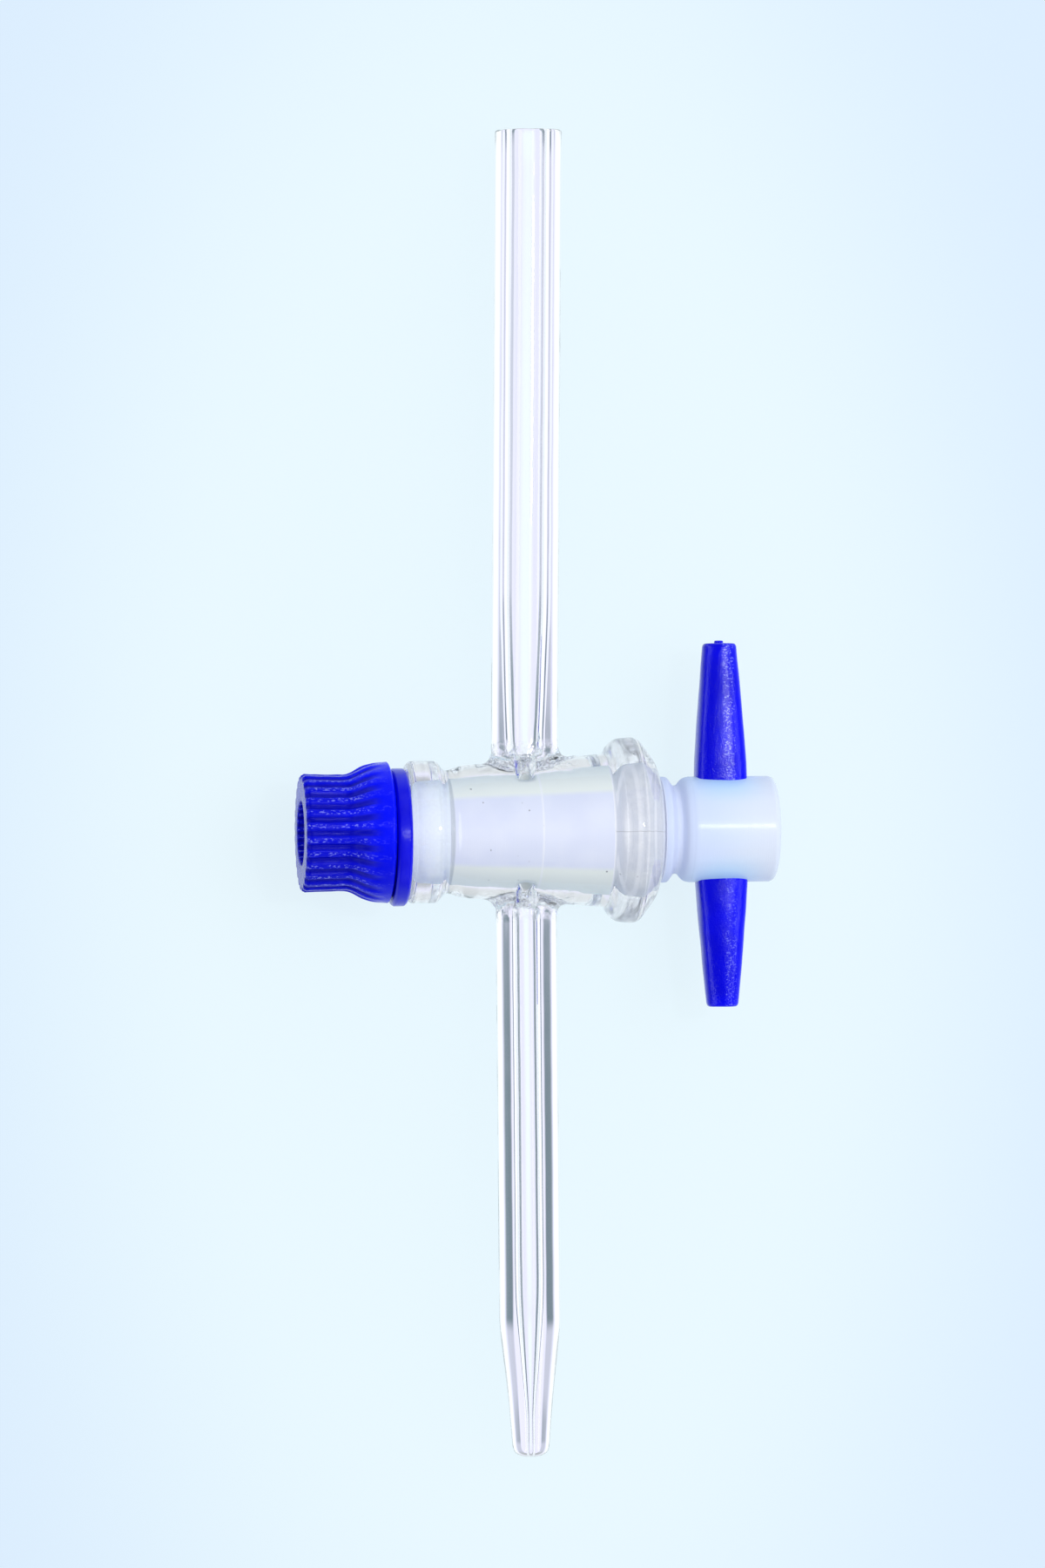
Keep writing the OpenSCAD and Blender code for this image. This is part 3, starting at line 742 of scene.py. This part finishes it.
def clear_glass():
    """Clear glass: faint draw lines along the tubes, and uneven glass where they are fused on.

    A patchy milky veil is strongest at the joints and fainter in the collar and the thick rim, where it
    never quite goes. Lamps and light from other surfaces pass straight through.
    """
    f = new_finish("clear_glass")
    at, (x, y, _) = f.place()
    joint = f.band(abs(y), 8.8, 2.3, 0.7) * f.climb(abs(x), 6.5, 4.5)
    tubes = f.climb(abs(y), 10.0, 14.0)
    rim = f.climb(x, 9.6, 11.2)
    collar = f.climb(x, -9.8, -11.0)
    worked = (f.noise(at, 560.0, 1.0) + f.noise(at, 1500.0, 2.0) * 0.4) * joint
    draw = f.noise(f.stretched(at, (1.0, 0.012, 1.0)), 1500.0, 1.0) * tubes
    wave = f.noise(at, 130.0, 1.0)
    normal = f.bump(wave, 8e-5, Normal=f.bump(worked, 1.2e-4, Normal=f.bump(draw, 6e-6)))
    glass = f.node("BsdfPrincipled", Base_Color=(0.985, 0.995, 0.992), Roughness=rim * 0.03,
                   IOR=GLASS_IOR, Transmission_Weight=1.0, Normal=normal)
    milky = f.node("BsdfDiffuse", Color=(0.86, 0.88, 0.9))
    patchy = f.climb(f.noise(at, 900.0, 3.0), 0.3, 0.8)
    veil = patchy * (joint * 0.35 + rim * 0.16 + collar * 0.15) + rim * 0.11
    clear = f.node("BsdfTransparent", Color=(0.9, 0.91, 0.96))
    lamp_or_bounce = f.ray("Shadow").math("MAXIMUM", f.ray("Diffuse"))
    return f.surface(f.layered(lamp_or_bounce, f.layered(veil, glass, milky), clear))


def turned_fluoropolymer():
    """White fluoropolymer: rings left by the lathe, a cloudy white, and painted grey shade in the groove.

    Inside the glass the light and shade that the thick walls give it are painted in: greenish painted
    shade on the sides, painted light that is paler under the collar and beyond, a painted grey
    shade band beside the collar, painted grey shade under the rim with two painted pale strips of
    light, and a thin painted pale line of light near the crossing. There are specks as far as the
    groove, and one hair scratch under the rim. The head is bluer, less so towards its end, and has a
    painted light-blue glow where the handle goes in.
    """
    f = new_finish("turned_fluoropolymer")
    at, (x, y, z) = f.place()
    rings = f.node("TexNoise", {"noise_dimensions": "1D"}, W=x, Scale=9.0, Detail=3.0, Roughness=0.6)
    cloud = f.noise(at, 240.0, 3.0)
    inside = f.climb(x, 16.2, 15.8)
    tint = f.blend(f.climb(cloud, 0.3, 0.7), (0.76, 0.805, 0.94), (0.815, 0.855, 0.965))
    tint = f.blend(f.climb(rings, 0.62, 0.75) * 0.14, tint, (0.66, 0.75, 0.92))
    # painted greenish shade on the key's sides inside the glass, for the dimmer light through the thick
    # walls
    sides = inside * f.climb(z - x * 0.04, 3.5, 2.8)
    tint = f.blend(sides * 0.95, tint, (0.88, 0.93, 0.86))
    # painted light: the key is paler and greener under the collar and beyond
    tint = f.blend(f.climb(x, -10.1, -10.8), tint, (0.84, 0.92, 0.93))
    # painted grey shade band beside the collar
    tint = f.blend(f.climb(abs(x + 9.6), 0.9, 0.5) * 0.7, tint, (0.5, 0.56, 0.58))
    # painted grey shade under the rim
    tint = f.blend(f.climb(x, 10.4, 11.4) * inside * 0.85, tint, (0.55, 0.585, 0.65))
    # two painted pale strips of light under the rim
    strips = (f.band(x, 11.3, 0.95, 0.75) * 0.55).math("MAXIMUM", f.band(x, 12.9, 0.3, 0.1) * 0.4)
    tint = f.blend(strips, tint, (0.97, 0.98, 1.0))
    specks = f.climb(f.noise(at, 2600.0, 0.0), 0.15, 0.12)
    wandering = f.noise(f.stretched(at, (1.0, 0.0, 0.0)), 600.0, 2.0) * 0.5
    scratch = f.climb(abs(y + wandering - 0.12), 0.05, 0.02) * f.band(x, 13.2, 2.6, 2.2)
    marks = specks.math("MAXIMUM", scratch * f.climb(z, 0.0, 1.0) * 0.7)
    tint = f.blend((1 - f.climb(x, 17.5, 18.5)) * marks * 0.75, tint, (0.2, 0.2, 0.22))
    # a thin painted pale line of light near the crossing
    tint = f.blend(f.band(x, 1.5, 0.16, 0.08) * 0.5, tint, (0.95, 0.97, 1.0))
    outside = f.blend(f.climb(x, 20.0, 27.0), (0.6, 0.69, 0.92), (0.67, 0.74, 0.88))
    tint = f.blend(f.climb(x, 16.0, 16.4), tint, outside)
    # painted grey shade in the groove, beside the rim
    tint = f.blend(f.band(x, 18.0, 1.3, 0.7) * 0.35, tint, (0.6, 0.64, 0.8))
    # painted light-blue glow on the head where the handle goes in
    painted_handle_glow = f.band(x, HANDLE_X, 6.0, 0.5) * f.climb(abs(y), 2.5, 6.8, 0.08, 1.0)
    tint = f.blend(painted_handle_glow, tint, (0.44, 0.71, 1.0))
    rough = rings * 0.2 + f.climb(x, 19.0, 20.0, 0.34, 0.1)
    normal = f.bump(rings, 7e-6, Normal=f.bump(cloud, 2e-5))
    return f.surface(f.node("BsdfPrincipled", Base_Color=tint, Roughness=rough,
                            IOR=FLUOROPOLYMER_IOR, Normal=normal))


def blue_moulding(name, deep, lit, grain, middle, relief, sheen, ribs=0):
    """Blue moulded plastic: a fine pebbled skin, and blues mottled between deep and lit, with painted
    shade that makes them deeper towards -X and more lit towards +X.

    With ribs it has painted shade between them and on the side away from the inlet, and painted pale
    glints on their tops. Without, the painted glints lie in a line along Y beside the middle, more so
    towards the inlet.
    """
    f = new_finish(name)
    at, (x, y, z) = f.place()
    pebbles = f.noise(at, grain, 2.0, 0.6)
    cloud = f.noise(at, 160.0, 2.0)
    # mottled between the deep and the lit blue, plus painted shade: deeper towards -X, lit towards +X
    tint = f.blend(f.climb(cloud + (x - middle) * 0.12, 0.25, 0.75), deep, lit)
    drawn_out = f.stretched(at, (0.45 if ribs else 0.8, 1.0, 1.0))
    # painted pale glints of the pebbled skin, drawn out along X on the nut
    painted_glints = f.climb(f.noise(drawn_out, grain, 1.0), 0.53, 0.7)
    if ribs:
        rib = ((y.math("ARCTAN2", z) + math.pi / 2) * ribs).math("COSINE")
        # painted shade between the ribs
        painted_valley_shade = f.climb(rib, 0.1, -0.8) * f.climb(x, -17.7, -20.0)
        tint = f.blend(painted_valley_shade * 0.7, tint, (0.0002, 0.0004, 0.3))
        # painted shade on the side away from the inlet
        tint = f.blend(f.climb(y, 0.0, -6.0) * 0.35, tint, (0.0002, 0.0004, 0.36))
        painted_glint_band = f.climb(rib, 0.3, 0.95) * f.climb(x, -18.2, -21.5, 0.06, 0.38)
    else:
        painted_glint_band = f.climb(abs(x - middle - 0.8), 0.9, 0.4) * f.climb(y, -3.0, 5.0, 0.2, 0.42)
    # painted pale glints, on the rib tops or in a band along Y beside the middle
    tint = f.blend(painted_glints * painted_glint_band, tint, (0.4, 0.46, 1.0))
    normal = f.bump(pebbles, relief, Normal=f.bump(cloud, 6e-5))
    return f.surface(f.node("BsdfPrincipled", Base_Color=tint, IOR=MOULDING_IOR, Normal=normal,
                            Roughness=pebbles * 0.16 + 0.13 - sheen * 0.18, Specular_IOR_Level=sheen))


def black_rubber():
    """Black rubber: matt, with a slight bloom."""
    f = new_finish("black_rubber")
    bloom = f.noise(f.position(), 900.0, 3.0)
    tint = f.blend(f.climb(bloom, 0.35, 0.75), (0.012, 0.012, 0.013), (0.03, 0.03, 0.033))
    return f.surface(f.node("BsdfPrincipled", Base_Color=tint, Roughness=bloom * 0.2 + 0.5,
                            Normal=f.bump(bloom, 1e-5)))


# ---------------------------------------------------------------- studio

LOOK = math.radians(8.0)  # the camera leans this far towards -X
ROLL = math.radians(0.52)  # and is turned this far about its own line of sight
TOWARDS = (-math.sin(LOOK), 0.0, math.cos(LOOK))
TARGET = (-0.3, 5.63, 0.0)
CAMERA_DISTANCE, LENS, SENSOR = 0.938, 180.0, 36.0  # the distance is in metres
FLOOR_Z = span("glass_body", Z)[0] - 0.05
FLOOR_HALF = 3.0  # in metres
SPOT = (0.2, 0.115, 0.97)  # towards the lamp that gives the small highlights


def make_world():
    """Even white light, with what the glass shows at its edges.

    Through glass the light depends on the angle from the line of sight: pale straight on, a dark ring
    where a studio's walls would be, bright panels beyond, the backdrop's own paleness level with the
    floor, and a dimmer ring of ceiling above. In gloss it is nearly black overhead and grey from there
    down, with a bright strip on each side, a long tube light along the tubes and a soft round spot.
    """
    f = Finish(bpy.data.worlds.new("studio"))
    way = f.node("TexCoord", out="Generated")
    angle = f.dot(way, tuple(-c for c in TOWARDS)).math("ARCCOSINE") * (180 / math.pi)
    up = f.dot(way, (0.0, 0.0, 1.0))
    inlet_way = f.dot(way, (0.0, 1.0, 0.0))
    side_way = f.dot(way, (1.0, 0.0, 0.0))

    straight = f.blend(f.climb(angle, 2.0, 10.0), (0.98, 1.06, 1.12), (0.92, 0.915, 1.12))
    panels = f.blend(f.climb(abs(inlet_way), 0.3, 0.6), (1.1, 1.13, 1.16), (0.74, 0.77, 0.8))
    seen = f.blend(f.climb(angle, 38.0, 50.0), straight, panels)
    ceiling = f.climb(angle, 104.0, 118.0) * f.climb(angle, 146.0, 130.0)
    level = f.blend(ceiling, PALE, (0.42, 0.46, 0.5))
    seen = f.blend(f.climb(angle, 60.0, 74.0), seen, level)
    walls = f.blend(f.climb(inlet_way, -0.045, 0.045), (0.17, 0.23, 0.28), (0.6, 0.62, 0.76))
    walls = f.blend(f.climb(abs(inlet_way), 0.2, 0.4), walls, (0.48, 0.5, 0.53))
    seen = f.blend(f.climb(angle, 21.0, 24.5) * f.climb(angle, 43.0, 34.0), seen, walls)

    gloss = f.blend(f.climb(up, 0.72, 0.3), (0.02, 0.02, 0.025), (0.42, 0.43, 0.45))
    spot = f.dot(way, Vector(SPOT).normalized()[:])
    spot = f.climb(spot, math.cos(math.radians(12)), math.cos(math.radians(5)))
    gloss = f.blend(spot, gloss, (0.8, 0.8, 0.82))
    strips = f.band(abs(side_way - 0.02), 0.6, 0.09, 0.06) * f.climb(up, 0.0, 0.1)
    gloss = f.blend(strips, gloss, (2.2, 2.25, 2.35))
    tube_light = f.band(side_way, 0.17, 0.06, 0.04) * f.climb(up, 0.15, 0.3)
    gloss = f.blend(tube_light, gloss, (1.7, 1.73, 1.77))

    light = f.blend(f.ray("Glossy"), (0.65, 0.65, 0.66), gloss)
    light = f.blend(f.ray("Transmission"), light, seen)
    light = f.blend(f.ray("Camera"), light, PALE)
    bpy.context.scene.world = f.surface(f.node("Background", Color=light, Strength=1.0))


def make_lamp(name, towards, distance, size, power, in_gloss):
    """A square lamp that faces the part. Glass doesn't show it, and gloss only where asked."""
    data = bpy.data.lights.new(name, "AREA")
    data.shape, data.size, data.energy = "SQUARE", size, power
    lamp = bpy.data.objects.new(name, data)
    lamp.location = Vector(towards).normalized() * distance
    lamp.rotation_mode = "QUATERNION"
    lamp.rotation_quaternion = Vector(towards).to_track_quat("Z", "Y")
    lamp.visible_transmission = False
    lamp.visible_glossy = in_gloss
    bpy.context.scene.collection.objects.link(lamp)


def make_floor():
    """Pale floor, with painted shade that darkens it a little towards the view's corners, and that keeps a
    soft shadow.
    """
    f = new_finish("pale_floor")
    oval = f.stretched(f.position(), (1.6, 0.75, 0.0))
    out = f.node("VectorMath", {"operation": "LENGTH"}, out=1, _0=oval) * 1000.0
    # painted shade: darker from an oval in the middle out towards the view's corners
    tint = f.blend(f.climb(out, 55.0, 128.0), (0.81, 0.935, 0.99), (0.71, 0.845, 0.985))
    shown = f.ray("Camera").math("MAXIMUM", f.ray("Glossy"))
    flat = f.node("Emission", Color=tint, Strength=1.0)
    soft = f.node("BsdfDiffuse", Color=tint)
    material = f.surface(f.layered(shown * 0.88, soft, flat))
    mesh = bpy.data.meshes.new("floor")
    corners = [(FLOOR_HALF * i, FLOOR_HALF * j, 0) for i, j in ((-1, -1), (1, -1), (1, 1), (-1, 1))]
    mesh.from_pydata(corners, [], [(0, 1, 2, 3)])
    mesh.materials.append(material)
    floor = bpy.data.objects.new("floor", mesh)
    floor.location = (0, 0, FLOOR_Z * MM)
    floor.visible_transmission = False
    bpy.context.scene.collection.objects.link(floor)


def make_camera():
    """A long lens almost straight above the part, leaning towards the nut's side."""
    data = bpy.data.cameras.new("camera")
    data.lens, data.sensor_width, data.clip_start, data.clip_end = LENS, SENSOR, 0.05, 20.0
    camera = bpy.data.objects.new("camera", data)
    back = Vector(TOWARDS)
    right = Vector((0, 1, 0)).cross(back).normalized()
    camera.location = Vector(TARGET) * MM + back * CAMERA_DISTANCE
    camera.rotation_mode = "QUATERNION"
    upright = Matrix((right, back.cross(right), back)).transposed().to_quaternion()
    camera.rotation_quaternion = upright @ Quaternion((0, 0, 1), -ROLL)
    bpy.context.scene.collection.objects.link(camera)
    bpy.context.scene.camera = camera


make_glass(clear_glass())
make_key(turned_fluoropolymer())
make_handle(blue_moulding("blue_moulding", deep=(0.0003, 0.0006, 0.6), lit=(0.0006, 0.001, 0.88),
                          grain=4900.0, middle=HANDLE_X, relief=3.2e-5, sheen=0.42))
make_nut(blue_moulding("blue_nut", deep=(0.0003, 0.003, 0.62), lit=(0.0006, 0.005, 0.9),
                       grain=5000.0, middle=-21.0, relief=3.2e-5, sheen=0.13, ribs=RIBS))
make_washer(blue_moulding("blue_sheet", deep=(0.0003, 0.0006, 0.6), lit=(0.0006, 0.001, 0.8),
                          grain=5400.0, middle=-14.6, relief=1.6e-5, sheen=0.22))
make_o_ring(black_rubber())
make_world()
make_lamp("overhead", (0.4, 0.14, 0.88), distance=0.8, size=0.6, power=3.1, in_gloss=False)
make_lamp("highlight", SPOT, distance=0.9, size=0.065, power=0.95, in_gloss=True)
make_floor()
make_camera()
scene = bpy.context.scene
scene.view_settings.view_transform = "Standard"
scene.cycles.glossy_bounces = 12
scene.cycles.transmission_bounces = 20
scene.cycles.max_bounces = 20
